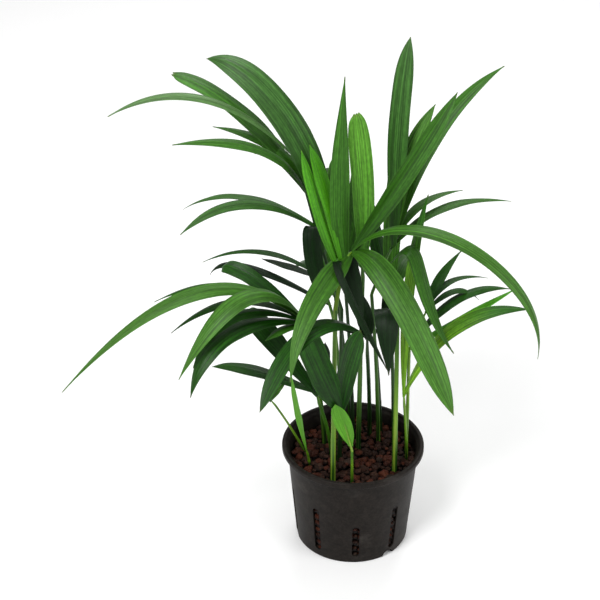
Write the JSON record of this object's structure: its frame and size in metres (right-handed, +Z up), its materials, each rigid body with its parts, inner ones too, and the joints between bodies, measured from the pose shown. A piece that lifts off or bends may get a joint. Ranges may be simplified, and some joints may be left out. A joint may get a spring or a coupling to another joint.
{
  "type": "potted areca palm",
  "caption": "Young feather-leaved palm with arching, pointed leaflets, standing in a slotted dark plastic culture pot of clay granules.",
  "frame": {"origin": "middle of the pot's flat underside, on the surface that it stands on", "axes": "+Z up, +X to the right in the picture, +Y away from the camera"},
  "size_m": [0.4721, 0.3303, 0.5465],
  "materials": {
    "pot_plastic": "dark grey-brown moulded plastic, satin, lightly scuffed",
    "clay": "fired expanded clay granules, brown, rough and matt",
    "stalk_green": "smooth living stalk, yellow-green to dark green, faintly ribbed",
    "leaf_green": "waxy leaf, mid to dark green with fine lengthwise veins"
  },
  "bodies": {
    "root": {"pot": "pot_plastic", "clay_granules": "clay", "stalk_front": "stalk_green", "frond_front": "leaf_green", "stalk_upper_left": "stalk_green", "frond_upper_left": "leaf_green", "stalk_middle_left": "stalk_green", "frond_middle_left": "leaf_green", "stalk_left": "stalk_green", "frond_left": "leaf_green", "stalk_low_front": "stalk_green", "frond_low_front": "leaf_green", "stalk_low_left": "stalk_green", "frond_low_left": "leaf_green", "stalk_folded": "stalk_green", "frond_folded": "leaf_green", "stalk_small_left": "stalk_green", "frond_small_left": "leaf_green", "stalk_spear_left": "stalk_green", "frond_spear_left": "leaf_green", "stalk_low_right": "stalk_green", "frond_low_right": "leaf_green", "stalk_young_right": "stalk_green", "frond_young_right": "leaf_green", "stalk_arching_right": "stalk_green", "frond_arching_right": "leaf_green", "stalk_tall_right": "stalk_green", "frond_tall_right": "leaf_green", "stalk_dark_middle": "stalk_green", "frond_dark_middle": "leaf_green", "stalk_young_back": "stalk_green", "frond_young_back": "leaf_green", "stalk_rear_right": "stalk_green", "frond_rear_right": "leaf_green", "stalk_rear_left": "stalk_green", "frond_rear_left": "leaf_green", "stalk_rear_middle": "stalk_green", "frond_rear_middle": "leaf_green"}
  },
  "joints": []
}
